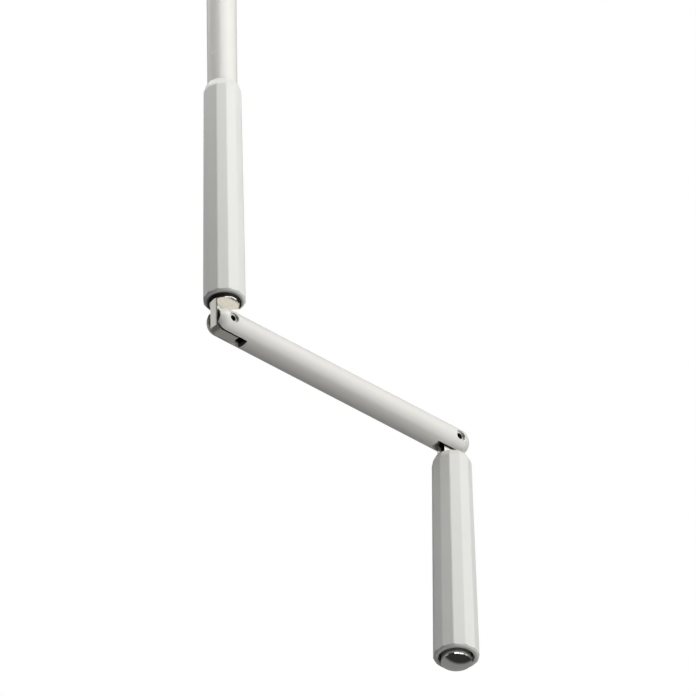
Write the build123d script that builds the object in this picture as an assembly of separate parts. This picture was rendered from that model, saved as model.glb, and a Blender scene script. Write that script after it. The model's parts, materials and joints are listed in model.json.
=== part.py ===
from build123d import *
import os

# Folding hand crank on its rod, hanging from the rod's upper end.
# Millimetres, +Z up. The origin is the middle of the socket mouth at the top of the rod.
# At rest the arm lies along +X, square to the rod, and the handle hangs parallel to the rod.
# Both fold hinges turn about lines along Y.

# Driving dimensions
PIN_DEPTH = 300.0            # upper hinge line below the socket mouth
ARM_LENGTH = 160.0           # from hinge line to hinge line
TUBE_R = 8.0                 # outside radius of the rod, the spindle, the arm and the collars
TUBE_BORE_R = 6.0            # bore of the rod and the spindle
RUNNING_GAP = 0.08           # radial play of a bush on its tube
RING_PLAY = 0.05             # play of a retaining ring in its groove

# Socket at the top of the rod
SOCKET_R = 6.55
SOCKET_DEPTH = 30.0
CROSS_HOLE_R = 2.0
CROSS_HOLE_DEPTH = 15.0

# Knuckles: a round bar with two flats, measured from the hinge line along the shank
TONGUE_THICKNESS = 5.6
TONGUE_END = 7.4             # how far the tongue reaches past the hinge line
TONGUE_TOE_R = 4.0           # corner on the side away from the slot's end
TONGUE_HEEL_R = 1.8          # corner on the side of the slot's end
TONGUE_BORE_R = 3.05
COLLAR_CHAMFER = 0.5
STUB_LENGTH = 28.0
STUB_CHAMFER = 0.8
ROD_SHOULDER = 12.0
ROD_COLLAR_END = 30.0
HANDLE_SHOULDER = 12.5
HANDLE_COLLAR_END = 32.0
CROSS_PIN_INSET = 14.0       # cross pin beyond the collar's end

# Crank arm
ARM_BORE_R = 5.5
ARM_OVERHANG = 9.5           # arm end past the hinge line
ARM_END_ROUND = 7.0
SLOT_WIDTH = 7.2
SLOT_REACH = 12.5            # slot end past the hinge line, towards the middle of the arm

# Slotted spring pins
HINGE_PIN_R = 3.0
HINGE_PIN_BORE_R = 1.7
HINGE_PIN_LENGTH = 13.8
HINGE_PIN_GAP = 0.9
HINGE_PIN_GAP_TURN = 30.0    # the gap's turn about the pin, down from the -X side
CROSS_PIN_BORE_R = 1.1
CROSS_PIN_LENGTH = 15.6
CROSS_PIN_GAP = 0.6
PIN_CHAMFER = 0.4

# Friction washers between the tongue and the two ears of the arm
WASHER_BORE_R = 3.06
WASHER_R = 6.2
WASHER_THICKNESS = 0.75
WASHER_FIT = 0.01            # between a washer and the ear it lies against

# Retaining rings
RING_GROOVE_R = 7.5
RING_R = 9.0
RING_THICKNESS = 1.0
RING_GAP = 5.0
GROOVE_WIDTH = RING_THICKNESS + 2 * RING_PLAY

# Grips: twelve-sided, wider towards the bottom, with a faceted cone at the top
SIDES = 12
BUSH_LENGTH = 12.0
GRIP_HOLE_R = 8.3            # lip round the tube at a grip's top
BOTTOM_SEAT_R = 9.6
RIM_INSET = 0.8              # lower rim inside the flats
RIM_CONE_WIDTH = 3.6         # the turned cone that chamfers the lower rim
RIM_CONE_HEIGHT = 3.6
BUSH_PLAY = 0.2              # end play of the lower grip

UPPER_GRIP_BOTTOM = 14.3     # above the upper hinge line
UPPER_GRIP_LENGTH = 141.9
UPPER_GRIP_CONE = 4.4
UPPER_FLATS_LIP = 17.2       # across flats at the very top
UPPER_FLATS_TOP = 19.8       # across flats under the cone
UPPER_FLATS_BOTTOM = 22.1
UPPER_LIP_LENGTH = 5.4       # lip above the top bush
UPPER_TOP_SEAT_R = 8.95
UPPER_HOLLOW_R = 9.3
UPPER_GRIP_TURN = 0.0
OUTER_RING_GAP = 0.35        # between the outer ring and the bush above it
INNER_RING_GAP = 0.45        # between the bush and the inner ring above it

LOWER_GRIP_TOP = 11.5        # below the lower hinge line
LOWER_GRIP_LENGTH = 128.3
LOWER_GRIP_CONE = 3.5
LOWER_FLATS_LIP = 17.2
LOWER_FLATS_TOP = 20.6
LOWER_FLATS_BOTTOM = 23.8
LOWER_TOP_SEAT_R = 9.2
LOWER_GRIP_TURN = 11.0
LOWER_LIP_LENGTH = 4.7       # lip above the retaining ring's space
RING_SPACE = 1.5             # space for the ring between the lip and the top bush
HANDLE_RING_GAP = 0.25       # between the lip and the ring

# End cap under the lower grip
CAP_R = 8.2
CAP_RECESS = 4.0             # recess of the lower bush behind the grip's rim
CAP_RIM_PROUD = 2.8
CAP_DOME = 2.6
CAP_STUB_LENGTH = 20.0
THRUST_WASHER_R = 9.1
THRUST_WASHER_BORE_R = 6.1
THRUST_WASHER_THICKNESS = 0.8

# Places worked out from the driving dimensions
ROD_LENGTH = PIN_DEPTH - ROD_COLLAR_END
OUTER_RING = UPPER_GRIP_BOTTOM - OUTER_RING_GAP - RING_THICKNESS
INNER_RING = UPPER_GRIP_BOTTOM + BUSH_LENGTH + INNER_RING_GAP
UPPER_GRIP_TOP = UPPER_GRIP_BOTTOM + UPPER_GRIP_LENGTH
UPPER_TOP_SEAT = UPPER_GRIP_TOP - UPPER_LIP_LENGTH - BUSH_LENGTH
HANDLE_RING = LOWER_GRIP_TOP + LOWER_LIP_LENGTH + HANDLE_RING_GAP
LOWER_TOP_SEAT = LOWER_GRIP_TOP + LOWER_LIP_LENGTH + RING_SPACE
LOWER_GRIP_BOTTOM = LOWER_GRIP_TOP + LOWER_GRIP_LENGTH
SPINDLE_END = LOWER_GRIP_BOTTOM - CAP_RECESS + BUSH_PLAY
CAP_SEAT = SPINDLE_END + THRUST_WASHER_THICKNESS
CAP_RIM = LOWER_GRIP_BOTTOM + CAP_RIM_PROUD

UP = (Align.CENTER, Align.CENTER, Align.MIN)
AT_UPPER_HINGE = Pos(0, 0, -PIN_DEPTH)
AT_LOWER_HINGE = Pos(ARM_LENGTH, 0, -PIN_DEPTH)
SHANK_DOWN = Rot(0, 180, 0)


def rod(radius, low, high):
    """A solid round bar along Z between two heights."""
    return Pos(0, 0, low) * Cylinder(radius, high - low, align=UP)


def tube(radius, bore_radius, low, high):
    """A round tube along Z between two heights."""
    return rod(radius, low, high) - rod(bore_radius, low, high)


def across(radius, height, length=4 * TUBE_R):
    """A round bar along Y through the Z axis, for cross holes."""
    return Pos(0, 0, height) * Rot(90, 0, 0) * Cylinder(radius, length)


def tongue(shoulder):
    """The flat end of a knuckle, with its rounded end below the hinge line."""
    bar = rod(TUBE_R, -TONGUE_END, shoulder)
    outline = Pos(0, 0, (shoulder - TONGUE_END) / 2) * Box(
        2 * TUBE_R, TONGUE_THICKNESS, shoulder + TONGUE_END
    )
    corners = outline.edges().filter_by(Axis.Y).group_by(Axis.Z)[0].sort_by(Axis.X)
    outline = fillet(corners[0], TONGUE_TOE_R)
    corners = outline.edges().filter_by(Axis.Y).group_by(Axis.Z)[0].sort_by(Axis.X)
    return bar & fillet(corners[-1], TONGUE_HEEL_R)


def knuckle(shoulder, collar_end, grooves):
    """A plated knuckle: tongue, round collar with ring grooves, and the stub that is pressed in a tube."""
    collar = rod(TUBE_R, shoulder, collar_end)
    collar = chamfer(collar.edges().group_by(Axis.Z)[0], COLLAR_CHAMFER)
    stub = rod(TUBE_BORE_R, collar_end, collar_end + STUB_LENGTH)
    stub = chamfer(stub.edges().group_by(Axis.Z)[-1], STUB_CHAMFER)
    body = collar + stub + tongue(shoulder)
    for start in grooves:
        low = start - RING_PLAY
        body -= tube(RING_R, RING_GROOVE_R, low, low + GROOVE_WIDTH)
    body -= across(TONGUE_BORE_R, 0)
    body -= across(CROSS_HOLE_R, collar_end + CROSS_PIN_INSET)
    return body


def spring_pin(radius, bore_radius, length, gap, turn):
    """A slotted spring pin along Y. Its gap starts on the -X side and is turned down by turn."""
    pin = Cylinder(radius, length)
    pin = chamfer(pin.edges(), PIN_CHAMFER)
    pin -= Cylinder(bore_radius, length)
    pin -= Pos(-radius, 0, 0) * Box(2 * radius, gap, length)
    return Rot(0, -turn, 0) * Rot(90, 0, 0) * pin


def retaining_ring(start):
    """An open ring round the Z axis, with its gap on the +X side."""
    ring = tube(RING_R, RING_GROOVE_R + RING_PLAY, start, start + RING_THICKNESS)
    return ring - Pos(RING_R, 0, start) * Box(2 * RING_R, RING_GAP, RING_THICKNESS, align=UP)


def bush(radius, low):
    """A plain plastic bush that runs on a tube."""
    return tube(radius, TUBE_R + RUNNING_GAP, low, low + BUSH_LENGTH)


def friction_washers():
    """The pair of thin washers beside a tongue, against the ears of the arm."""
    ring = tube(WASHER_R, WASHER_BORE_R, -WASHER_THICKNESS / 2, WASHER_THICKNESS / 2)
    offset = SLOT_WIDTH / 2 - WASHER_THICKNESS / 2 - WASHER_FIT
    return [Pos(0, side * offset, 0) * Rot(90, 0, 0) * ring for side in (-1, 1)]


def twelve_sided(flats, height, turn):
    """A regular outline, flats across flats, with a corner on the X axis before it is turned."""
    outline = RegularPolygon(flats / 2, SIDES, major_radius=False)
    return Pos(0, 0, height) * Rot(0, 0, turn) * outline


def grip_shell(bottom, top, cone, flats, turn):
    """A tapered twelve-sided sleeve, still solid. flats holds the sizes at bottom, cone and lip."""
    heights = (bottom, top - cone, top)
    outlines = [twelve_sided(size, height, turn) for size, height in zip(flats, heights)]
    taper = loft(outlines[:2], ruled=True)
    shell = taper + loft(outlines[1:], ruled=True)
    rim_r = flats[0] / 2 - RIM_INSET
    flare_r = rim_r + RIM_CONE_WIDTH
    turned = Pos(0, 0, bottom) * Cone(rim_r, flare_r, RIM_CONE_HEIGHT, align=UP)
    turned += rod(flare_r, bottom + RIM_CONE_HEIGHT, top)
    return shell & turned


def make_rod_tube():
    body = tube(TUBE_R, TUBE_BORE_R, -ROD_LENGTH, 0)
    body -= rod(SOCKET_R, -SOCKET_DEPTH, 0)
    body -= across(CROSS_HOLE_R, -CROSS_HOLE_DEPTH)
    return body - across(CROSS_HOLE_R, -ROD_LENGTH + CROSS_PIN_INSET)


def make_upper_grip():
    flats = (UPPER_FLATS_BOTTOM, UPPER_FLATS_TOP, UPPER_FLATS_LIP)
    body = grip_shell(UPPER_GRIP_BOTTOM, UPPER_GRIP_TOP, UPPER_GRIP_CONE, flats, UPPER_GRIP_TURN)
    body -= rod(GRIP_HOLE_R, UPPER_GRIP_BOTTOM, UPPER_GRIP_TOP)
    body -= rod(BOTTOM_SEAT_R, UPPER_GRIP_BOTTOM, UPPER_GRIP_BOTTOM + BUSH_LENGTH)
    body -= rod(UPPER_HOLLOW_R, UPPER_GRIP_BOTTOM, UPPER_TOP_SEAT)
    return body - rod(UPPER_TOP_SEAT_R, UPPER_TOP_SEAT, UPPER_TOP_SEAT + BUSH_LENGTH)


def make_crank_arm():
    length = ARM_LENGTH + 2 * ARM_OVERHANG
    blank = Pos(ARM_LENGTH / 2, 0, 0) * Rot(0, 90, 0) * Cylinder(TUBE_R, length)
    blank = fillet(blank.edges().filter_by(GeomType.CIRCLE), ARM_END_ROUND)
    blank -= Pos(ARM_LENGTH / 2, 0, 0) * Rot(0, 90, 0) * Cylinder(ARM_BORE_R, length)
    slot_length = 2 * ARM_OVERHANG + SLOT_REACH
    slot = Box(slot_length, SLOT_WIDTH, 4 * TUBE_R)
    blank -= Pos(SLOT_REACH - slot_length / 2, 0, 0) * slot
    blank -= Pos(ARM_LENGTH - SLOT_REACH + slot_length / 2, 0, 0) * slot
    for x in (0, ARM_LENGTH):
        blank -= Pos(x, 0, 0) * across(HINGE_PIN_R, 0)
    return blank


def make_lower_grip():
    """Built upside down about the lower hinge: heights are distances below the hinge line."""
    flats = (LOWER_FLATS_BOTTOM, LOWER_FLATS_TOP, LOWER_FLATS_LIP)
    body = grip_shell(-LOWER_GRIP_BOTTOM, -LOWER_GRIP_TOP, LOWER_GRIP_CONE, flats, LOWER_GRIP_TURN)
    body -= rod(GRIP_HOLE_R, -LOWER_GRIP_BOTTOM, -LOWER_GRIP_TOP)
    body -= rod(LOWER_TOP_SEAT_R, -LOWER_GRIP_BOTTOM, -LOWER_GRIP_TOP - LOWER_LIP_LENGTH)
    seat_top = -LOWER_GRIP_BOTTOM + CAP_RECESS + BUSH_LENGTH
    return body - rod(BOTTOM_SEAT_R, -LOWER_GRIP_BOTTOM, seat_top)


def make_end_cap():
    """Domed cap: heights are distances below the lower hinge line, taken as negative Z."""
    flange = rod(CAP_R, -CAP_RIM, -CAP_SEAT)
    sphere_r = (CAP_R**2 + CAP_DOME**2) / (2 * CAP_DOME)
    dome = Pos(0, 0, -CAP_RIM - CAP_DOME + sphere_r) * Sphere(sphere_r)
    dome &= rod(CAP_R, -CAP_RIM - CAP_DOME, -CAP_RIM)
    stub = rod(TUBE_BORE_R, -CAP_SEAT, -CAP_SEAT + THRUST_WASHER_THICKNESS + CAP_STUB_LENGTH)
    stub = chamfer(stub.edges().group_by(Axis.Z)[-1], STUB_CHAMFER)
    return flange + dome + stub


hinge_pin = spring_pin(
    HINGE_PIN_R, HINGE_PIN_BORE_R, HINGE_PIN_LENGTH, HINGE_PIN_GAP, HINGE_PIN_GAP_TURN
)
cross_pin = spring_pin(CROSS_HOLE_R, CROSS_PIN_BORE_R, CROSS_PIN_LENGTH, CROSS_PIN_GAP, 90)
thrust_washer = tube(THRUST_WASHER_R, THRUST_WASHER_BORE_R, -CAP_SEAT, -SPINDLE_END)

parts = {
    # the rod, which hangs from its socket
    "rod_tube": make_rod_tube(),
    "rod_knuckle": AT_UPPER_HINGE * knuckle(ROD_SHOULDER, ROD_COLLAR_END, (OUTER_RING, INNER_RING)),
    "rod_cross_pin": AT_UPPER_HINGE * Pos(0, 0, ROD_COLLAR_END + CROSS_PIN_INSET) * cross_pin,
    "upper_grip_outer_ring": AT_UPPER_HINGE * retaining_ring(OUTER_RING),
    "upper_grip_inner_ring": AT_UPPER_HINGE * retaining_ring(INNER_RING),
    # the upper grip, which turns on the rod
    "upper_grip": AT_UPPER_HINGE * make_upper_grip(),
    "upper_grip_top_bush": AT_UPPER_HINGE * bush(UPPER_TOP_SEAT_R, UPPER_TOP_SEAT),
    "upper_grip_bottom_bush": AT_UPPER_HINGE * bush(BOTTOM_SEAT_R, UPPER_GRIP_BOTTOM),
    # the crank arm, with both hinge pins held in its ears
    "crank_arm": AT_UPPER_HINGE * make_crank_arm(),
    "upper_hinge_pin": AT_UPPER_HINGE * hinge_pin,
    "lower_hinge_pin": AT_LOWER_HINGE * hinge_pin,
    "upper_friction_washers": AT_UPPER_HINGE * Compound(children=friction_washers()),
    "lower_friction_washers": AT_LOWER_HINGE * Compound(children=friction_washers()),
    # the core of the handle
    "handle_knuckle": AT_LOWER_HINGE
    * SHANK_DOWN
    * knuckle(HANDLE_SHOULDER, HANDLE_COLLAR_END, (HANDLE_RING,)),
    "handle_spindle": AT_LOWER_HINGE
    * (
        tube(TUBE_R, TUBE_BORE_R, -SPINDLE_END, -HANDLE_COLLAR_END)
        - across(CROSS_HOLE_R, -HANDLE_COLLAR_END - CROSS_PIN_INSET)
    ),
    "handle_cross_pin": AT_LOWER_HINGE * Pos(0, 0, -HANDLE_COLLAR_END - CROSS_PIN_INSET) * cross_pin,
    "handle_ring": AT_LOWER_HINGE * SHANK_DOWN * retaining_ring(HANDLE_RING),
    "handle_thrust_washer": AT_LOWER_HINGE * thrust_washer,
    "end_cap": AT_LOWER_HINGE * make_end_cap(),
    # the lower grip, which turns on the spindle
    "lower_grip": AT_LOWER_HINGE * make_lower_grip(),
    "lower_grip_top_bush": AT_LOWER_HINGE * bush(LOWER_TOP_SEAT_R, -LOWER_TOP_SEAT - BUSH_LENGTH),
    "lower_grip_bottom_bush": AT_LOWER_HINGE * bush(BOTTOM_SEAT_R, -LOWER_GRIP_BOTTOM + CAP_RECESS),
}

os.makedirs("parts", exist_ok=True)
for name, shape in parts.items():
    export_step(shape, f"parts/{name}.step")
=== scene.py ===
import json
import math

import bmesh
import bpy
from bpy.props import FloatProperty, FloatVectorProperty, IntProperty, PointerProperty
from mathutils import Matrix, Quaternion, Vector


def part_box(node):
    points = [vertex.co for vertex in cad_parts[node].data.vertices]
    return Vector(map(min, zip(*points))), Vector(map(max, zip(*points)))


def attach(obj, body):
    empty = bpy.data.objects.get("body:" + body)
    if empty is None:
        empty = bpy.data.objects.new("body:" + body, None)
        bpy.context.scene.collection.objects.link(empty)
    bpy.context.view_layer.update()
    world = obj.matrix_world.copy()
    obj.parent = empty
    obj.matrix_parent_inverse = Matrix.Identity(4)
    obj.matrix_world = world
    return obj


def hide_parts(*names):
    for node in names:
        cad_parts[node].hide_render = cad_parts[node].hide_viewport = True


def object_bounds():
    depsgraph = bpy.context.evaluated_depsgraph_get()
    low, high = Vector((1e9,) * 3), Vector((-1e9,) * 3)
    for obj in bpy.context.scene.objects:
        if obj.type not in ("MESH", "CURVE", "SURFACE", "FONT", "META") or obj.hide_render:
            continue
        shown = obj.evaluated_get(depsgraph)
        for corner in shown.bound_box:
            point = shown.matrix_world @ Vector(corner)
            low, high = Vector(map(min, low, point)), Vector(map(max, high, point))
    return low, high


bl_info = {
    "name": "Folding Hand Crank",
    "version": (1, 0, 0),
    "blender": (4, 5, 0),
    "location": "3D View > Sidebar > Crank",
    "description": "Builds a folding hand crank with two turning grips round its CAD frame",
    "category": "Object",
}

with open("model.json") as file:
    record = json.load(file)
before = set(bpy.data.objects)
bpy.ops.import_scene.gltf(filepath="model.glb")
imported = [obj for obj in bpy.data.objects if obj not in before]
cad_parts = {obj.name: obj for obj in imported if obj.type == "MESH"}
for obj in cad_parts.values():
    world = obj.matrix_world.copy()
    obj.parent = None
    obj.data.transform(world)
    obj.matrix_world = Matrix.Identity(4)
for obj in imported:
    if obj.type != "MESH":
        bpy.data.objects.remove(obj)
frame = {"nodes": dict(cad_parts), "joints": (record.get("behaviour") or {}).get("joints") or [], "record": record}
CAD_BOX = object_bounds()

MM = 0.001
MICRON = 0.000001
FULL_TURN = 2 * math.pi
JOINTS = {joint["name"]: joint for joint in frame["joints"]}
UPPER_HINGE = Vector(JOINTS["arm_fold"]["pos_m"])
LOWER_HINGE = Vector(JOINTS["handle_fold"]["pos_m"])
SOCKET = {mount["name"]: mount for mount in frame["record"]["mounts"]}["rod_socket"]
CROSS_HOLE = {mount["name"]: mount for mount in frame["record"]["mounts"]}["rod_cross_hole"]


def hex_colour(code):
    """An sRGB hex colour as linear red, green, blue and alpha."""
    parts = [int(code[i : i + 2], 16) / 255 for i in (0, 2, 4)]
    linear = [c / 12.92 if c <= 0.04045 else ((c + 0.055) / 1.055) ** 2.4 for c in parts]
    return (*linear, 1.0)


def length(name, description, millimetres):
    """A length property with its default in millimetres."""
    return FloatProperty(
        name=name, description=description, default=millimetres * MM, min=0.0, precision=5, unit="LENGTH"
    )


def colour(name, description, code):
    """A colour property with an sRGB hex default."""
    return FloatVectorProperty(
        name=name, description=description, default=hex_colour(code), size=4, min=0.0, max=1.0,
        subtype="COLOR_GAMMA",
    )


def factor(name, description, value):
    """A plain number from 0 to 1."""
    return FloatProperty(
        name=name, description=description, default=value, min=0.0, max=1.0, subtype="FACTOR"
    )


# Fits, rounds and chamfers that are too small to be worth a setting

UPPER_HOLLOW = 9.3 * MM  # bore radius of the upper grip between its bushes
LOWER_HOLLOW = 9.2 * MM  # the same in the lower grip
RING_ROOM = 1.5 * MM  # room for the ring above the lower grip's top bush
RING_PLAY = 0.05 * MM
BUSH_PLAY = 0.08 * MM
WASHER_PLAY = 0.06 * MM
WASHER_ROUND = 0.06 * MM
PIN_ROUND = 0.35 * MM
PIN_GAP_TURN = math.radians(-30)
CIRCLIP_ROUND = 0.12 * MM
TURNED_ROUND = 0.3 * MM  # bushes and end cap
CAP_CHAMFER = 0.8 * MM
MATCH = 0.05 * MM  # how near a face must be to count as part of a surface

# The pale wall that the metal reflects: its direction from the camera's azimuth, its height
# angle, and the cosines between which the dark room fades into it
WALL_TURN = math.radians(-155)
WALL_HEIGHT = math.radians(20)
WALL_FADE = (0.05, 0.38)


# Sizes and colours that a user would change


class CrankSizes(bpy.types.PropertyGroup):
    """Sizes that the CAD boxes don't give."""

    tube_steps: IntProperty(name="Steps", description="Steps of a full turn", default=96, min=24)
    edge_round: length("Edge round", "Rounding of sawn and drilled steel edges", 0.3)
    rod_bore: length("Rod bore", "Bore radius of the rod below its socket", 6.0)
    arm_bore: length("Arm bore", "Bore radius of the crank arm", 5.5)
    arm_end_round: length("Arm end round", "Radius turned on the two ends of the arm", 7.0)
    slot_width: length("Slot width", "Width of the slots in the arm", 7.2)
    slot_reach: length("Slot reach", "Slot end past the hinge line", 12.5)
    # Past this point the arm's bore takes the darkened bare steel, which paints the shade inside the tube.
    bare_and_shaded_start: length("Bare start", "Where the arm's bore stops being painted, past the hinge line", 8.0)
    pin_hole: length("Pin hole", "Radius of the hinge pin holes in the arm", 3.0)
    pin_bore: length("Pin bore", "Inside radius of the hollow hinge pins", 1.7)
    pin_gap: length("Pin gap", "Slot along a hinge pin", 0.9)
    tongue_thickness: length("Tongue", "Thickness of a knuckle's tongue", 5.6)
    tongue_hole: length("Tongue hole", "Radius of the hole in a tongue", 3.05)
    tongue_toe: length("Tongue toe", "Corner radius away from the slot's end", 4.0)
    tongue_heel: length("Tongue heel", "Corner radius beside the slot's end", 1.8)
    washer_thickness: length("Washer", "Thickness of a friction washer", 0.75)
    cap_dome: length("Cap dome", "Height of the end cap's dome", 2.6)
    rod_shoulder: length("Rod shoulder", "Collar above the upper hinge line", 12.0)
    handle_shoulder: length("Handle shoulder", "Collar below the lower hinge line", 12.5)
    ring_groove: length("Ring groove", "Groove radius under a retaining ring", 7.5)
    ring_gap: length("Ring gap", "Opening of a retaining ring", 5.0)


class CrankGrips(bpy.types.PropertyGroup):
    """The two twelve-sided grips."""

    corner_round: length("Corner round", "Rounding of the long corners", 0.5)
    rim_inset: length("Rim inset", "Lower rim inside the flats", 0.8)
    rim_cone_width: length("Rim cone width", "Turned cone that chamfers the lower rim, across", 3.6)
    rim_cone_height: length("Rim cone height", "Turned cone that chamfers the lower rim, along", 3.6)
    hole: length("Hole", "Radius of the hole at the top of a grip", 8.3)
    upper_bottom_flats: length("Upper grip, bottom", "Across flats at the bottom", 22.1)
    upper_top_flats: length("Upper grip, top", "Across flats under the cone", 19.8)
    upper_cone: length("Upper cone", "Height of the faceted cone", 4.4)
    lower_bottom_flats: length("Lower grip, bottom", "Across flats at the bottom", 23.8)
    lower_top_flats: length("Lower grip, top", "Across flats under the cone", 20.6)
    lower_cone: length("Lower cone", "Height of the faceted cone", 3.5)
    lip_flats: length("Lip", "Across flats at the very top", 17.2)
    lower_turn: FloatProperty(
        name="Lower turn", description="How far the lower grip is turned",
        default=math.radians(11), unit="ROTATION",
    )


class CrankFinishes(bpy.types.PropertyGroup):
    """Colours and gloss."""

    paint: colour("Paint", "Powder coat of the rod and the arm", "DAD8D3")
    grip: colour("Grips", "Moulded grips", "D8D8D4")
    nickel: colour("Nickel", "Plated knuckles", "CFCCC4")
    chrome: colour("Chrome", "End cap", "D2D2D0")
    spring_steel: colour("Spring steel", "Hinge pins", "B4B3AF")
    phosphate: colour("Phosphate", "Retaining rings", "3A3936")
    # Bare steel drawn much darker than it is: this colour also paints the shade inside the bores and at the slot
    # ends.
    drawn_steel_and_painted_shade: colour("Drawn steel", "Bare steel inside the tubes", "6E6C69")
    acetal: colour("Acetal", "Bushes", "D0D0CC")
    nylon: colour("Nylon", "Friction washers", "1A1A19")
    paint_roughness: factor("Paint roughness", "Roughness of the powder coat", 0.24)
    grip_roughness: factor("Grip roughness", "Roughness of the moulded grips", 0.38)


class CrankStage(bpy.types.PropertyGroup):
    """Camera and studio."""

    camera_azimuth: FloatProperty(
        name="Azimuth", description="Camera direction round the crank",
        default=math.radians(-42.527), unit="ROTATION",
    )
    camera_elevation: FloatProperty(
        name="Elevation", description="Camera height angle", default=math.radians(-36.5), unit="ROTATION"
    )
    camera_roll: FloatProperty(
        name="Roll", description="Camera roll", default=math.radians(-1.016), unit="ROTATION"
    )
    camera_distance: FloatProperty(name="Distance", description="Camera distance", default=6.0, unit="LENGTH")
    camera_lens: FloatProperty(name="Lens", description="Focal length in millimetres", default=587.9)
    aim: FloatVectorProperty(
        name="Aim", description="Aim point from the upper hinge",
        default=(0.08707, 0.0, 0.02651), subtype="XYZ",
    )
    floor_depth: FloatProperty(
        name="Floor", description="Floor below the origin", default=10.0, unit="LENGTH"
    )
    light_level: FloatProperty(name="Light level", description="Brightness of all soft boxes", default=1.0)
    wall_light: FloatProperty(name="Wall light", description="Brightness of the wall behind", default=0.33)
    room_light: FloatProperty(name="Room light", description="Brightness of the room in front", default=0.04)


def settings(name):
    """One of the property groups on the scene."""
    return getattr(bpy.context.scene, name)


# Mesh helpers


def turned(profile, steps, closed=True):
    """Spins a profile of (radius, height) points round Z into a closed shell."""
    bm = bmesh.new()
    points = [bm.verts.new((radius, 0, height)) for radius, height in profile]
    pairs = list(zip(points, points[1:]))
    if closed:
        pairs.append((points[-1], points[0]))
    lines = [bm.edges.new(pair) for pair in pairs]
    bmesh.ops.spin(
        bm, geom=points + lines, cent=(0, 0, 0), axis=(0, 0, 1), angle=FULL_TURN, steps=steps, use_merge=True
    )
    return cleaned(bm)


def cleaned(bm):
    """Merges doubles, drops slivers and points the faces outwards."""
    bmesh.ops.remove_doubles(bm, verts=bm.verts, dist=1e-7)
    bmesh.ops.dissolve_degenerate(bm, dist=1e-7, edges=bm.edges)
    bmesh.ops.recalc_face_normals(bm, faces=bm.faces)
    return bm


def ring_profile(outer, inner, low, high):
    """The four corners of a tube wall."""
    return [(inner, low), (outer, low), (outer, high), (inner, high)]


def block(size, centre):
    """A box of a size about a centre."""
    bm = bmesh.new()
    bmesh.ops.create_cube(bm, size=1.0, matrix=Matrix.Translation(centre) @ Matrix.Diagonal((*size, 1)))
    return bm


def bar(radius, height, steps, matrix):
    """A solid round bar about its own middle, placed by a matrix."""
    bm = bmesh.new()
    bmesh.ops.create_cone(
        bm, cap_ends=True, segments=steps, radius1=radius, radius2=radius, depth=height, matrix=matrix
    )
    return bm


def soften(bm, width, angle=30.0, segments=2, edges=None):
    """Rounds the edges whose faces meet at more than an angle in degrees."""
    limit = math.radians(angle)
    if edges is None:
        edges = [e for e in bm.edges if e.is_manifold and e.calc_face_angle() > limit]
    bmesh.ops.bevel(
        bm, geom=edges, offset=width, offset_type="OFFSET", segments=segments, profile=0.5,
        affect="EDGES", clamp_overlap=True, material=-1,
    )
    return bm


def loose_object(name, bm):
    """An object in the scene made from a bmesh, which is freed."""
    mesh = bpy.data.meshes.new(name)
    bm.to_mesh(mesh)
    bm.free()
    thing = bpy.data.objects.new(name, mesh)
    bpy.context.scene.collection.objects.link(thing)
    return thing


def carve(bm, tool, operation="DIFFERENCE"):
    """Cuts, joins or intersects two closed bmeshes, and returns the result."""
    target, cutter = loose_object("carve_target", bm), loose_object("carve_tool", tool)
    modifier = target.modifiers.new("carve", "BOOLEAN")
    modifier.operation = operation
    for _ in range(2):
        target.data.materials.append(None)
    modifier.solver = "EXACT"
    modifier.object = cutter
    result = bmesh.new()
    result.from_object(target, bpy.context.evaluated_depsgraph_get())
    for thing in (target, cutter):
        mesh = thing.data
        bpy.data.objects.remove(thing)
        bpy.data.meshes.remove(mesh)
    bmesh.ops.remove_doubles(result, verts=result.verts, dist=2e-6)
    bmesh.ops.dissolve_degenerate(result, dist=1e-6, edges=result.edges)
    bmesh.ops.dissolve_limit(
        result, angle_limit=math.radians(0.1), verts=result.verts, edges=result.edges,
        delimit={"MATERIAL"},
    )
    return result


def finish_piece(name, bm, materials, body, node, sharp=32.0, weighted=True):
    """Turns a bmesh into a finished piece that rides on a body and stands for a CAD node."""
    bmesh.ops.recalc_face_normals(bm, faces=bm.faces)
    piece = loose_object(name, bm)
    for material in materials:
        piece.data.materials.append(material)
    piece.data.polygons.foreach_set("use_smooth", [True] * len(piece.data.polygons))
    piece.data.set_sharp_from_angle(angle=math.radians(sharp))
    if weighted:
        modifier = piece.modifiers.new("even shading", "WEIGHTED_NORMAL")
        modifier.keep_sharp = True
        modifier.weight = 80
    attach(piece, body)
    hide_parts(node)
    return piece


# Materials


def add_node(tree, kind, inputs=None, links=None, **values):
    """Adds a node, sets its values and sockets, and links sources into its sockets."""
    node = tree.nodes.new(kind)
    for key, value in values.items():
        setattr(node, key, value)
    for socket, value in (inputs or {}).items():
        node.inputs[socket].default_value = value
    for socket, source in (links or {}).items():
        tree.links.new(source, node.inputs[socket])
    return node


def shader(name, **sockets):
    """A new material with its Principled shader's sockets set. Returns material, tree and shader."""
    material = bpy.data.materials.new(name)
    material.use_nodes = True
    tree = material.node_tree
    principled = tree.nodes["Principled BSDF"]
    for socket, value in sockets.items():
        principled.inputs[socket.replace("_", " ")].default_value = value
    return material, tree, principled


def noise(tree, size, detail=3.0, stretch=(1, 1, 1)):
    """Noise whose grain measures about size, on the piece's own coordinates."""
    place = add_node(tree, "ShaderNodeTexCoord")
    mapping = add_node(
        tree, "ShaderNodeMapping", {"Scale": stretch}, {"Vector": place.outputs["Object"]}
    )
    return add_node(
        tree, "ShaderNodeTexNoise", {"Scale": 1 / size, "Detail": detail},
        {"Vector": mapping.outputs["Vector"]},
    )


def vary(tree, source, low, high):
    """Maps a noise to a range."""
    return add_node(
        tree, "ShaderNodeMapRange", {"From Min": 0.3, "From Max": 0.7, "To Min": low, "To Max": high},
        {"Value": source},
    ).outputs["Result"]


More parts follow.
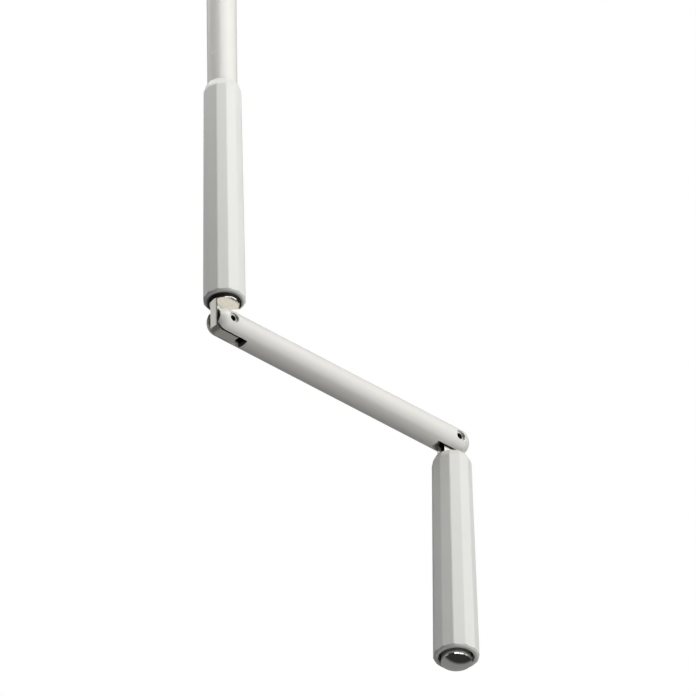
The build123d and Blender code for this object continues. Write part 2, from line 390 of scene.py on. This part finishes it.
def tint(tree, source, base, shift):
    """Mixes a colour with a slightly darker one by a noise."""
    dark = (*[c * (1 - shift) for c in base[:3]], 1.0)
    ramp = add_node(tree, "ShaderNodeValToRGB", links={"Fac": source})
    ramp.color_ramp.elements[0].position = 0.3
    ramp.color_ramp.elements[0].color = dark
    ramp.color_ramp.elements[1].position = 0.7
    ramp.color_ramp.elements[1].color = tuple(base)
    return ramp.outputs["Color"]


def bump(tree, source, depth, strength=1.0, under=None):
    """A bump of a real depth, over another bump if one is given."""
    links = {"Height": source}
    if under is not None:
        links["Normal"] = under
    return add_node(
        tree, "ShaderNodeBump", {"Strength": strength, "Distance": depth}, links
    ).outputs["Normal"]


def powder_coat():
    """Polyester powder coat, baked: satin gloss with a faint orange peel."""
    look = settings("crank_finishes")
    material, tree, skin = shader("powder_coated_steel", IOR=1.5)
    peel = noise(tree, 1.6 * MM, 1.0)
    cloud = noise(tree, 30 * MM, 2.0)
    tree.links.new(tint(tree, cloud.outputs["Fac"], look.paint, 0.03), skin.inputs["Base Color"])
    rough = vary(tree, cloud.outputs["Fac"], look.paint_roughness * 0.9, look.paint_roughness * 1.15)
    tree.links.new(rough, skin.inputs["Roughness"])
    tree.links.new(bump(tree, peel.outputs["Fac"], 0.012 * MM, 0.6), skin.inputs["Normal"])
    return material


def moulded_grip():
    """Glass-filled polyamide from a spark-eroded mould: satin, with a very fine grain."""
    look = settings("crank_finishes")
    material, tree, skin = shader("moulded_polyamide", IOR=1.53)
    # The real grain of 0.1 mm is too fine to show, so it is drawn at 0.35 mm.
    grain = noise(tree, 0.35 * MM, 2.0)
    cloud = noise(tree, 18 * MM, 2.0)
    tree.links.new(tint(tree, cloud.outputs["Fac"], look.grip, 0.03), skin.inputs["Base Color"])
    rough = vary(tree, cloud.outputs["Fac"], look.grip_roughness * 0.92, look.grip_roughness * 1.1)
    tree.links.new(rough, skin.inputs["Roughness"])
    tree.links.new(bump(tree, grain.outputs["Fac"], 0.01 * MM, 0.5), skin.inputs["Normal"])
    return material


def nickel_plate():
    """Bright nickel over a turned and milled steel bar: mirror-like, a little warm and uneven."""
    look = settings("crank_finishes")
    material, tree, skin = shader("bright_nickel_plate", Metallic=1.0)
    cloud = noise(tree, 5 * MM, 3.0)
    lay = noise(tree, 0.5 * MM, 2.0, (1, 1, 0.12))
    tree.links.new(tint(tree, cloud.outputs["Fac"], look.nickel, 0.08), skin.inputs["Base Color"])
    tree.links.new(vary(tree, lay.outputs["Fac"], 0.08, 0.2), skin.inputs["Roughness"])
    soft = bump(tree, cloud.outputs["Fac"], 0.03 * MM, 0.5)
    tree.links.new(bump(tree, lay.outputs["Fac"], 0.004 * MM, 0.6, soft), skin.inputs["Normal"])
    return material


def chrome_plate():
    """Decorative chrome on a pressed and polished cap: a near mirror with faint waves."""
    look = settings("crank_finishes")
    material, tree, skin = shader("polished_chrome_plate", Metallic=1.0)
    cloud = noise(tree, 6 * MM, 2.0)
    tree.links.new(tint(tree, cloud.outputs["Fac"], look.chrome, 0.05), skin.inputs["Base Color"])
    tree.links.new(vary(tree, cloud.outputs["Fac"], 0.05, 0.12), skin.inputs["Roughness"])
    tree.links.new(bump(tree, cloud.outputs["Fac"], 0.02 * MM, 0.4), skin.inputs["Normal"])
    return material


def plain_metal(name, base, low, high, grain, stretch=(1, 1, 1)):
    """A bare or lightly treated metal with a directional grain."""
    material, tree, skin = shader(name, Metallic=1.0)
    mark = noise(tree, grain, 3.0, stretch)
    tree.links.new(tint(tree, mark.outputs["Fac"], base, 0.2), skin.inputs["Base Color"])
    tree.links.new(vary(tree, mark.outputs["Fac"], low, high), skin.inputs["Roughness"])
    tree.links.new(bump(tree, mark.outputs["Fac"], 0.006 * MM, 0.5), skin.inputs["Normal"])
    return material


def plain_plastic(name, base, low, high, grain):
    """A turned or moulded engineering plastic."""
    material, tree, skin = shader(name, IOR=1.48)
    mark = noise(tree, grain, 3.0)
    tree.links.new(tint(tree, mark.outputs["Fac"], base, 0.12), skin.inputs["Base Color"])
    tree.links.new(vary(tree, mark.outputs["Fac"], low, high), skin.inputs["Roughness"])
    tree.links.new(bump(tree, mark.outputs["Fac"], 0.008 * MM, 0.5), skin.inputs["Normal"])
    return material


def finish(name):
    """A material by its finish name, made once."""
    look = settings("crank_finishes")
    makers = {
        "powder_coated_steel": powder_coat,
        "moulded_polyamide": moulded_grip,
        "bright_nickel_plate": nickel_plate,
        "polished_chrome_plate": chrome_plate,
        "zinc_plated_spring_steel": lambda: plain_metal(
            "zinc_plated_spring_steel", look.spring_steel, 0.16, 0.34, 0.4 * MM, (1, 0.2, 1)
        ),
        "phosphated_spring_steel": lambda: plain_metal(
            "phosphated_spring_steel", look.phosphate, 0.45, 0.65, 0.3 * MM
        ),
        # Bare steel, darkened as painted shade for the insides of the tubes and the slot ends.
        "drawn_steel_and_painted_shade": lambda: plain_metal("drawn_steel_and_painted_shade", look.drawn_steel_and_painted_shade, 0.3, 0.5, 0.5 * MM, (1, 1, 0.1)),
        "turned_acetal": lambda: plain_plastic("turned_acetal", look.acetal, 0.35, 0.5, 0.6 * MM),
        "black_nylon": lambda: plain_plastic("black_nylon", look.nylon, 0.4, 0.6, 0.4 * MM),
    }
    return bpy.data.materials.get(name) or makers[name]()


# Shapes


def tube_radius():
    """Outside radius of the rod, which the arm, the spindle and the collars share."""
    low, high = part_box("rod_tube")
    return (high.x - low.x) / 2


def knuckle_shape(node, shoulder, tube_node, ring_nodes, hinge):
    """A knuckle about its hinge, with the shank along +Z. Ring nodes give its grooves."""
    size = settings("crank_sizes")
    radius = tube_radius()
    low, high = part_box(node)
    flip = abs(high.z - hinge.z) < abs(low.z - hinge.z)
    heights = [hinge.z - high.z, hinge.z - low.z] if flip else [low.z - hinge.z, high.z - hinge.z]
    tube_low, tube_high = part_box(tube_node)
    collar_end = hinge.z - tube_high.z if flip else tube_low.z - hinge.z
    stub = size.rod_bore
    chamfer = 0.8 * MM
    profile = [(0, shoulder), (radius - 0.5 * MM, shoulder), (radius, shoulder + 0.5 * MM)]
    for ring in ring_nodes:
        ring_low, ring_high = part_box(ring)
        start = hinge.z - ring_high.z if flip else ring_low.z - hinge.z
        end = hinge.z - ring_low.z if flip else ring_high.z - hinge.z
        play = 0.05 * MM
        profile += [
            (radius, start - play), (size.ring_groove, start - play),
            (size.ring_groove, end + play), (radius, end + play),
        ]
    profile += [
        (radius, collar_end), (stub, collar_end), (stub, heights[1] - chamfer),
        (stub - chamfer, heights[1]), (0, heights[1]),
    ]
    shank = turned(profile, size.tube_steps, closed=False)
    middle = (shoulder + 1 * MM + heights[0]) / 2
    reach = shoulder + 1 * MM - heights[0]
    tongue = bar(radius, reach, size.tube_steps, Matrix.Translation((0, 0, middle)))
    slab = block((2 * radius, size.tongue_thickness, reach), (0, 0, middle))
    for side, corner_r in ((-1, size.tongue_toe), (1, size.tongue_heel)):
        corner = [
            e for e in slab.edges
            if all(v.co.z < 0 and abs(v.co.x - side * radius) < MICRON for v in e.verts)
        ]
        soften(slab, corner_r, segments=10, edges=corner)
    tongue = carve(tongue, slab, "INTERSECT")
    body = carve(shank, tongue, "UNION")
    across = Matrix.Rotation(math.pi / 2, 4, "X")
    body = carve(body, bar(size.tongue_hole, 4 * radius, 48, across))
    soften(body, size.edge_round, 40)
    turn = Matrix.Rotation(math.pi, 4, "Y") if flip else Matrix.Identity(4)
    bmesh.ops.transform(body, matrix=Matrix.Translation(hinge) @ turn, verts=body.verts)
    return body


def arm_shape():
    """The crank arm: a tube with turned ends, a slot at each end and the two pin holes."""
    size = settings("crank_sizes")
    low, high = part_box("crank_arm")
    radius = tube_radius()
    round_r = size.arm_end_round
    # The bore cuts the very tips of the turned ends away, so the box is a little short of them.
    lost_tip = round_r - math.sqrt(round_r**2 - (size.arm_bore - radius + round_r) ** 2)
    half = (high.x - low.x) / 2 + lost_tip
    arc_steps = 10
    arc = [
        (radius - round_r + round_r * math.sin(a), half - round_r + round_r * math.cos(a))
        for a in (math.pi / 2 * i / arc_steps for i in range(arc_steps + 1))
        if radius - round_r + round_r * math.sin(a) > size.arm_bore
    ]
    cut = half - round_r + math.sqrt(round_r**2 - (size.arm_bore - radius + round_r) ** 2)
    end = [(size.arm_bore, cut)] + arc
    # Between these points the bore takes the second material: bare steel drawn dark as painted shade inside the
    # tube. Near the ends it stays powder coat.
    bare = (LOWER_HINGE.x - UPPER_HINGE.x) / 2 - size.bare_and_shaded_start
    profile = end + [(r, -h) for r, h in reversed(end)] + [(size.arm_bore, -bare), (size.arm_bore, bare)]
    tube = turned(profile, size.tube_steps)
    for face in tube.faces:
        if all(v.co.xy.length < size.arm_bore + MICRON and abs(v.co.z) < bare + MICRON for v in face.verts):
            face.material_index = 1
    lie = Matrix.Translation(((low.x + high.x) / 2, 0, UPPER_HINGE.z)) @ Matrix.Rotation(math.pi / 2, 4, "Y")
    bmesh.ops.transform(tube, matrix=lie, verts=tube.verts)
    for hinge, side in ((UPPER_HINGE, 1), (LOWER_HINGE, -1)):
        slot_length = 2 * (half - (LOWER_HINGE.x - UPPER_HINGE.x) / 2) + size.slot_reach
        centre = hinge + Vector((side * (size.slot_reach - slot_length / 2), 0, 0))
        tube = carve(tube, block((slot_length, size.slot_width, 4 * radius), centre))
        across = Matrix.Translation(hinge) @ Matrix.Rotation(math.pi / 2, 4, "X")
        tube = carve(tube, bar(size.pin_hole, 4 * radius, 64, across))
    soften(tube, size.edge_round, 38)
    return tube


def rod_shape():
    """The rod: a tube with its reamed socket at the top and two cross holes."""
    size = settings("crank_sizes")
    low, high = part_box("rod_tube")
    radius = tube_radius()
    socket_r = SOCKET["dims"]["r_mm"] * MM
    socket_end = high.z - SOCKET["dims"]["length_mm"] * MM
    profile = [
        (size.rod_bore, low.z), (radius, low.z), (radius, high.z),
        (socket_r, high.z), (socket_r, socket_end), (size.rod_bore, socket_end),
    ]
    tube = turned(profile, size.tube_steps)
    hole_r = CROSS_HOLE["dims"]["r_mm"] * MM
    pin_low, pin_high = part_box("rod_cross_pin")
    for height in (CROSS_HOLE["pos_m"][2], (pin_low.z + pin_high.z) / 2):
        across = Matrix.Translation((0, 0, height)) @ Matrix.Rotation(math.pi / 2, 4, "X")
        tube = carve(tube, bar(hole_r, 4 * radius, 40, across))
    return soften(tube, size.edge_round, 38)


def twelve_sided(levels, flats, turn):
    """A closed twelve-sided body with sizes across flats at its bottom, its shoulder and its lip."""
    bottom, shoulder, lip = (across / 2 / math.cos(math.pi / 12) for across in flats)
    place = Matrix.Translation((0, 0, (levels[0] + levels[1]) / 2)) @ Matrix.Rotation(turn, 4, "Z")
    bm = bmesh.new()
    bmesh.ops.create_cone(
        bm, cap_ends=True, segments=12, radius1=bottom, radius2=shoulder,
        depth=levels[1] - levels[0], matrix=place,
    )
    top = max(bm.faces, key=lambda face: face.calc_center_median().z)
    grown = bmesh.ops.extrude_discrete_faces(bm, faces=[top])["faces"][0]
    ratio = lip / shoulder
    bmesh.ops.scale(bm, verts=grown.verts, vec=(ratio, ratio, 1))
    bmesh.ops.translate(bm, verts=grown.verts, vec=(0, 0, levels[2] - levels[1]))
    return cleaned(bm)


def grip_shape(node, flats, cone, turn, seats):
    """A twelve-sided grip. flats are its sizes at bottom, cone and lip, and seats the steps of its bore."""
    size = settings("crank_grips")
    steps = settings("crank_sizes").tube_steps
    low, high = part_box(node)
    levels = (low.z, high.z - cone, high.z)
    bm = twelve_sided(levels, flats, turn)
    long_edges = [e for e in bm.edges if abs(e.verts[0].co.z - e.verts[1].co.z) > MM]
    soften(bm, size.corner_round, segments=3, edges=long_edges)
    shoulder_edges = [
        e for e in bm.edges
        if all(abs(v.co.z - levels[1]) < 0.5 * MM for v in e.verts) and e.calc_face_angle(0) > 0.1
    ]
    soften(bm, 0.8 * MM, segments=2, edges=shoulder_edges)
    rim = flats[0] / 2 - size.rim_inset
    reach = size.rim_cone_height
    flare = rim + size.rim_cone_width
    core = turned(
        [
            (0, levels[0]), (rim, levels[0]), (flare, levels[0] + reach),
            (flare, levels[2] + MM), (0, levels[2] + MM),
        ],
        steps, closed=False,
    )
    bm = carve(bm, core, "INTERSECT")
    profile = [(0, levels[0] - MM)]
    for radius, start, end in seats:
        profile += [(radius, start), (radius, end)]
    profile += [(0, seats[-1][2])]
    bm = carve(bm, turned(profile, steps, closed=False))
    return soften(bm, 0.25 * MM, 40)


def c_ring(outer, inner, low, high, gap, edge, turn=0.0):
    """An open ring round Z, with its gap on the -X side before it is turned."""
    steps = settings("crank_sizes").tube_steps
    ring = turned(ring_profile(outer, inner, low, high), steps)
    tool = block((2 * outer, gap, 3 * (high - low)), (-outer, 0, (low + high) / 2))
    ring = carve(ring, tool)
    soften(ring, edge, 40)
    bmesh.ops.rotate(ring, verts=ring.verts, cent=(0, 0, 0), matrix=Matrix.Rotation(turn, 3, "Z"))
    return ring


# Operators


class CrankOperator:
    """What every operator of this file shares."""

    bl_options = {"REGISTER", "UNDO"}


class CRANK_OT_rod(CrankOperator, bpy.types.Operator):
    """Build the painted rod with its socket"""

    bl_idname = "crank.rod"
    bl_label = "Rod"

    def execute(self, context):
        shape = rod_shape()
        piece = finish_piece(
            "painted_rod", shape, [finish("powder_coated_steel"), finish("drawn_steel_and_painted_shade")], "rod", "rod_tube",
        )
        bare_and_shaded_inside(piece, Vector((0, 0, 0)), Vector((0, 0, 1)), SOCKET["dims"]["r_mm"] * MM)
        return {"FINISHED"}


def bare_and_shaded_inside(piece, origin, axis, radius):
    """Gives the faces of a bore the second material: bare steel drawn dark as painted shade inside the bore."""
    for face in piece.data.polygons:
        away = face.center - origin
        away -= away.dot(axis) * axis
        if away.length < radius + MATCH:
            face.material_index = 1


def bare_and_shaded_slot_ends(piece, size):
    """Gives the sawn ends of the arm's slots the second material: bare steel drawn dark as painted shade in the
    slots.
    """
    middle = (UPPER_HINGE + LOWER_HINGE) / 2
    end = (LOWER_HINGE - UPPER_HINGE).x / 2 - size.slot_reach
    for face in piece.data.polygons:
        place = face.center - middle
        if abs(face.normal.x) > 0.99 and abs(abs(place.x) - end) < MATCH:
            face.material_index = 1


class CRANK_OT_knuckles(CrankOperator, bpy.types.Operator):
    """Build the two plated knuckles"""

    bl_idname = "crank.knuckles"
    bl_label = "Knuckles"

    def execute(self, context):
        size = settings("crank_sizes")
        rod = knuckle_shape(
            "rod_knuckle", size.rod_shoulder, "rod_tube", ("upper_grip_outer_ring", "upper_grip_inner_ring"),
            UPPER_HINGE,
        )
        handle = knuckle_shape(
            "handle_knuckle", size.handle_shoulder, "handle_spindle", ("handle_ring",),
            Vector((0, 0, LOWER_HINGE.z)),
        )
        bmesh.ops.translate(handle, verts=handle.verts, vec=(LOWER_HINGE.x, 0, 0))
        plate = [finish("bright_nickel_plate")]
        finish_piece("plated_rod_knuckle", rod, plate, "rod", "rod_knuckle")
        finish_piece("plated_handle_knuckle", handle, plate, "handle", "handle_knuckle")
        return {"FINISHED"}


class CRANK_OT_arm(CrankOperator, bpy.types.Operator):
    """Build the slotted crank arm"""

    bl_idname = "crank.arm"
    bl_label = "Crank arm"

    def execute(self, context):
        size = settings("crank_sizes")
        materials = [finish("powder_coated_steel"), finish("drawn_steel_and_painted_shade")]
        piece = finish_piece("slotted_crank_arm", arm_shape(), materials, "arm", "crank_arm")
        bare_and_shaded_slot_ends(piece, size)
        return {"FINISHED"}


class CRANK_OT_hinge_parts(CrankOperator, bpy.types.Operator):
    """Build the hollow hinge pins, the friction washers and the retaining rings"""

    bl_idname = "crank.hinge_parts"
    bl_label = "Pins, washers and rings"

    def execute(self, context):
        size = settings("crank_sizes")
        lay_down = Matrix.Rotation(PIN_GAP_TURN, 4, "Y") @ Matrix.Rotation(math.pi / 2, 4, "X")
        for name, node, hinge in (
            ("hollow_upper_pin", "upper_hinge_pin", UPPER_HINGE),
            ("hollow_lower_pin", "lower_hinge_pin", LOWER_HINGE),
        ):
            low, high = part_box(node)
            half = (high.y - low.y) / 2
            pin = c_ring(size.pin_hole, size.pin_bore, -half, half, size.pin_gap, PIN_ROUND)
            bmesh.ops.transform(pin, matrix=Matrix.Translation(hinge) @ lay_down, verts=pin.verts)
            finish_piece(name, pin, [finish("zinc_plated_spring_steel")], "arm", node)
        for name, node, hinge in (
            ("upper_washer_pair", "upper_friction_washers", UPPER_HINGE),
            ("lower_washer_pair", "lower_friction_washers", LOWER_HINGE),
        ):
            low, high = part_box(node)
            outer = (high.x - low.x) / 2
            thickness = size.washer_thickness
            pair = bmesh.new()
            for side in (-1, 1):
                middle = side * (high.y - thickness / 2)
                disc = turned(
                    ring_profile(outer, size.pin_hole + WASHER_PLAY, -thickness / 2, thickness / 2), 64
                )
                place = Matrix.Translation(hinge + Vector((0, middle, 0)))
                across = place @ Matrix.Rotation(math.pi / 2, 4, "X")
                bmesh.ops.transform(disc, matrix=across, verts=disc.verts)
                soften(disc, WASHER_ROUND, 40)
                part = bpy.data.meshes.new("washer")
                disc.to_mesh(part)
                disc.free()
                pair.from_mesh(part)
                bpy.data.meshes.remove(part)
            finish_piece(name, pair, [finish("black_nylon")], "arm", node)
        for name, node, body in (
            ("outer_grip_circlip", "upper_grip_outer_ring", "rod"),
            ("inner_grip_circlip", "upper_grip_inner_ring", "rod"),
            ("handle_circlip", "handle_ring", "handle"),
        ):
            low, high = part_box(node)
            outer = (high.y - low.y) / 2
            inner = size.ring_groove + RING_PLAY
            turn = 0.0 if body == "handle" else math.pi
            ring = c_ring(outer, inner, low.z, high.z, size.ring_gap, CIRCLIP_ROUND, turn)
            bmesh.ops.translate(ring, verts=ring.verts, vec=(LOWER_HINGE.x if body == "handle" else 0, 0, 0))
            finish_piece(name, ring, [finish("phosphated_spring_steel")], body, node)
        return {"FINISHED"}


class CRANK_OT_grips(CrankOperator, bpy.types.Operator):
    """Build the two twelve-sided grips"""

    bl_idname = "crank.grips"
    bl_label = "Grips"

    def execute(self, context):
        size = settings("crank_grips")
        material = [finish("moulded_polyamide")]
        low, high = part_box("upper_grip")
        seats = bush_seats(
            "upper_grip_bottom_bush", "upper_grip_top_bush", size.hole, UPPER_HOLLOW, low.z, high.z, 0
        )
        flats = (size.upper_bottom_flats, size.upper_top_flats, size.lip_flats)
        upper = grip_shape("upper_grip", flats, size.upper_cone, 0.0, seats)
        finish_piece("upper_turning_grip", upper, material, "upper_sleeve", "upper_grip", 24)
        low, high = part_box("lower_grip")
        seats = bush_seats(
            "lower_grip_bottom_bush", "lower_grip_top_bush", size.hole, LOWER_HOLLOW, low.z, high.z,
            RING_ROOM,
        )
        flats = (size.lower_bottom_flats, size.lower_top_flats, size.lip_flats)
        lower = grip_shape("lower_grip", flats, size.lower_cone, size.lower_turn, seats)
        bmesh.ops.translate(lower, verts=lower.verts, vec=(LOWER_HINGE.x, 0, 0))
        finish_piece("lower_turning_grip", lower, material, "lower_sleeve", "lower_grip", 24)
        return {"FINISHED"}


def bush_seats(bottom_bush, top_bush, hole, hollow, low, high, ring_room):
    """The steps of a grip's bore, as (radius, start, end), worked out from its bushes."""
    bottom_low, bottom_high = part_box(bottom_bush)
    top_low, top_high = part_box(top_bush)
    seat = (bottom_high.y - bottom_low.y) / 2
    top_seat = (top_high.y - top_low.y) / 2
    return (
        (seat, low - MM, bottom_high.z), (hollow, bottom_high.z, top_low.z),
        (top_seat, top_low.z, top_high.z + ring_room), (hole, top_high.z + ring_room, high + MM),
    )


class CRANK_OT_bushes(CrankOperator, bpy.types.Operator):
    """Build the four bushes in the grips"""

    bl_idname = "crank.bushes"
    bl_label = "Bushes"

    def execute(self, context):
        steps = settings("crank_sizes").tube_steps
        for node in (
            "upper_grip_top_bush", "upper_grip_bottom_bush", "lower_grip_top_bush", "lower_grip_bottom_bush"
        ):
            low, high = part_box(node)
            bore = tube_radius() + BUSH_PLAY
            bush = turned(ring_profile((high.y - low.y) / 2, bore, low.z, high.z), steps)
            soften(bush, TURNED_ROUND, 40)
            bmesh.ops.translate(bush, verts=bush.verts, vec=((low.x + high.x) / 2, 0, 0))
            body = "upper_sleeve" if node.startswith("upper") else "lower_sleeve"
            finish_piece("turned_" + node, bush, [finish("turned_acetal")], body, node)
        return {"FINISHED"}


class CRANK_OT_end_cap(CrankOperator, bpy.types.Operator):
    """Build the domed end cap"""

    bl_idname = "crank.end_cap"
    bl_label = "End cap"

    def execute(self, context):
        size = settings("crank_sizes")
        low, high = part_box("end_cap")
        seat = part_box("handle_thrust_washer")[0].z
        radius = (high.x - low.x) / 2
        dome = size.cap_dome
        rim = low.z + dome
        sphere = (radius**2 + dome**2) / (2 * dome)
        spread = math.asin(radius / sphere)
        steps = 16
        profile = [
            (sphere * math.sin(spread * i / steps), low.z + sphere - sphere * math.cos(spread * i / steps))
            for i in range(steps + 1)
        ]
        profile += [
            (radius, rim + 0.01 * MM), (radius, seat), (size.rod_bore, seat),
            (size.rod_bore, high.z - CAP_CHAMFER), (size.rod_bore - CAP_CHAMFER, high.z), (0, high.z),
        ]
        cap = turned(profile, size.tube_steps, closed=False)
        soften(cap, TURNED_ROUND, 24, segments=3)
        bmesh.ops.translate(cap, verts=cap.verts, vec=(LOWER_HINGE.x, 0, 0))
        chrome = [finish("polished_chrome_plate")]
        finish_piece("domed_end_cap", cap, chrome, "handle", "end_cap")
        return {"FINISHED"}


class CRANK_OT_inner_parts(CrankOperator, bpy.types.Operator):
    """Give the hidden CAD parts their materials"""

    bl_idname = "crank.inner_parts"
    bl_label = "Inner parts"

    def execute(self, context):
        finishes = {
            "rod_cross_pin": "zinc_plated_spring_steel",
            "handle_cross_pin": "zinc_plated_spring_steel",
            "handle_spindle": "drawn_steel_and_painted_shade",
            "handle_thrust_washer": "drawn_steel_and_painted_shade",
        }
        for node, name in finishes.items():
            part = frame["nodes"][node]
            part.data.materials.clear()
            part.data.materials.append(finish(name))
        return {"FINISHED"}


class CRANK_OT_stage(CrankOperator, bpy.types.Operator):
    """Set up the camera, the studio lights, the floor and the backdrop"""

    bl_idname = "crank.stage"
    bl_label = "Stage"

    def execute(self, context):
        stage = settings("crank_stage")
        make_camera(stage)
        make_world(stage)
        make_lights(stage)
        make_floor(stage)
        context.scene.view_settings.view_transform = "Standard"
        context.scene.view_settings.look = "None"
        return {"FINISHED"}


def heading(azimuth, elevation):
    """The unit direction of an azimuth and an elevation. Azimuth 0 is the -Y side."""
    return Vector((
        math.sin(azimuth) * math.cos(elevation), -math.cos(azimuth) * math.cos(elevation), math.sin(elevation)
    ))


def make_camera(stage):
    """The camera looks up at the hanging crank from the left front."""
    data = bpy.data.cameras.new("camera")
    data.sensor_width = 36.0
    data.lens = stage.camera_lens
    data.clip_start, data.clip_end = 0.1, 50.0
    camera = bpy.data.objects.new("camera", data)
    bpy.context.scene.collection.objects.link(camera)
    back = heading(stage.camera_azimuth, stage.camera_elevation)
    camera.location = UPPER_HINGE + Vector(stage.aim) + back * stage.camera_distance
    camera.rotation_mode = "QUATERNION"
    roll = Quaternion((0, 0, 1), stage.camera_roll)
    camera.rotation_quaternion = (-back).to_track_quat("-Z", "Y") @ roll
    bpy.context.scene.camera = camera


def make_world(stage):
    """White for the camera. Light and reflections see a pale wall behind left and a dark room in front."""
    world = bpy.data.worlds.new("studio")
    bpy.context.scene.world = world
    world.use_nodes = True
    tree = world.node_tree
    tree.nodes.clear()
    behind = heading(stage.camera_azimuth + WALL_TURN, WALL_HEIGHT)
    place = add_node(tree, "ShaderNodeTexCoord")
    facing = add_node(
        tree, "ShaderNodeVectorMath", {1: behind}, {0: place.outputs["Generated"]}, operation="DOT_PRODUCT"
    )
    wall = add_node(
        tree, "ShaderNodeMapRange",
        {
            "From Min": WALL_FADE[0], "From Max": WALL_FADE[1],
            "To Min": stage.room_light, "To Max": stage.wall_light,
        },
        {"Value": facing.outputs["Value"]}, interpolation_type="SMOOTHSTEP",
    )
    studio = add_node(
        tree, "ShaderNodeBackground", {"Color": (1, 1, 1, 1)}, {"Strength": wall.outputs["Result"]}
    )
    white = add_node(tree, "ShaderNodeBackground", {"Color": (1, 1, 1, 1)})
    path = add_node(tree, "ShaderNodeLightPath")
    mix = add_node(
        tree, "ShaderNodeMixShader",
        links={
            0: path.outputs["Is Camera Ray"],
            1: studio.outputs["Background"],
            2: white.outputs["Background"],
        },
    )
    add_node(tree, "ShaderNodeOutputWorld", links={"Surface": mix.outputs["Shader"]})


# Each soft box: azimuth from the camera and elevation in degrees, distance, width and height in
# metres, and its brightness where a white sheet in the backdrop is 1.
SOFT_BOXES = {
    "key": (24, 42, 1.2, 1.39, 0.64, 3.7),
    "side": (64, -10, 1.7, 1.9, 2.4, 1.9),
    "left_panel": (-95, 42, 0.75, 0.8, 0.7, 0.5),
    "rod_fill": (-75, 66, 0.8, 0.9, 0.5, 2.6),
    "right_panel": (85, 36, 1.0, 0.5, 0.5, 1.6),
    "under": (30, -60, 1.2, 0.6, 0.45, 2.0),
}


def make_lights(stage):
    """Soft boxes round the crank, which the camera itself doesn't see."""
    low, high = CAD_BOX
    for name, (azimuth, elevation, distance, width, height, brightness) in SOFT_BOXES.items():
        data = bpy.data.lights.new(name, "AREA")
        data.shape = "RECTANGLE"
        data.size, data.size_y = width, height
        data.energy = brightness * stage.light_level * math.pi * width * height
        light = bpy.data.objects.new(name, data)
        bpy.context.scene.collection.objects.link(light)
        towards = heading(stage.camera_azimuth + math.radians(azimuth), math.radians(elevation))
        light.location = (low + high) / 2 + towards * distance
        light.rotation_mode = "QUATERNION"
        light.rotation_quaternion = towards.to_track_quat("Z", "Y")
        light.visible_camera = False


def make_floor(stage):
    """A plain pale floor far under the hanging crank, evenly lit. Only the camera sees it."""
    bm = bmesh.new()
    bmesh.ops.create_grid(
        bm, x_segments=1, y_segments=1, size=25.0, matrix=Matrix.Translation((0, 0, -stage.floor_depth))
    )
    floor = loose_object("studio_floor", bm)
    material, tree, skin = shader("matt_floor_paint", Roughness=0.8, Emission_Strength=0.8)
    cloud = noise(tree, 400 * MM, 2.0)
    pale = tint(tree, cloud.outputs["Fac"], hex_colour("F4F4F2"), 0.02)
    tree.links.new(pale, skin.inputs["Base Color"])
    tree.links.new(pale, skin.inputs["Emission Color"])
    floor.data.materials.append(material)
    floor.visible_diffuse = False
    floor.visible_glossy = False


class CRANK_PT_panel(bpy.types.Panel):
    """The crank's steps in the sidebar"""

    bl_idname = "CRANK_PT_panel"
    bl_label = "Folding Hand Crank"
    bl_space_type = "VIEW_3D"
    bl_region_type = "UI"
    bl_category = "Crank"

    def draw(self, context):
        for step in STEPS:
            self.layout.operator(step.bl_idname)


STEPS = (
    CRANK_OT_stage,
    CRANK_OT_rod,
    CRANK_OT_knuckles,
    CRANK_OT_arm,
    CRANK_OT_hinge_parts,
    CRANK_OT_grips,
    CRANK_OT_bushes,
    CRANK_OT_end_cap,
    CRANK_OT_inner_parts,
)
GROUPS = {
    "crank_sizes": CrankSizes,
    "crank_grips": CrankGrips,
    "crank_finishes": CrankFinishes,
    "crank_stage": CrankStage,
}


def register():
    for kind in (*GROUPS.values(), *STEPS, CRANK_PT_panel):
        bpy.utils.register_class(kind)
    for name, kind in GROUPS.items():
        setattr(bpy.types.Scene, name, PointerProperty(type=kind))


def unregister():
    for name in GROUPS:
        delattr(bpy.types.Scene, name)
    for kind in (CRANK_PT_panel, *reversed(STEPS), *GROUPS.values()):
        bpy.utils.unregister_class(kind)


def main():
    register()
    for step in STEPS:
        area, name = step.bl_idname.split(".")
        getattr(getattr(bpy.ops, area), name)()


if __name__ == "__main__":
    main()
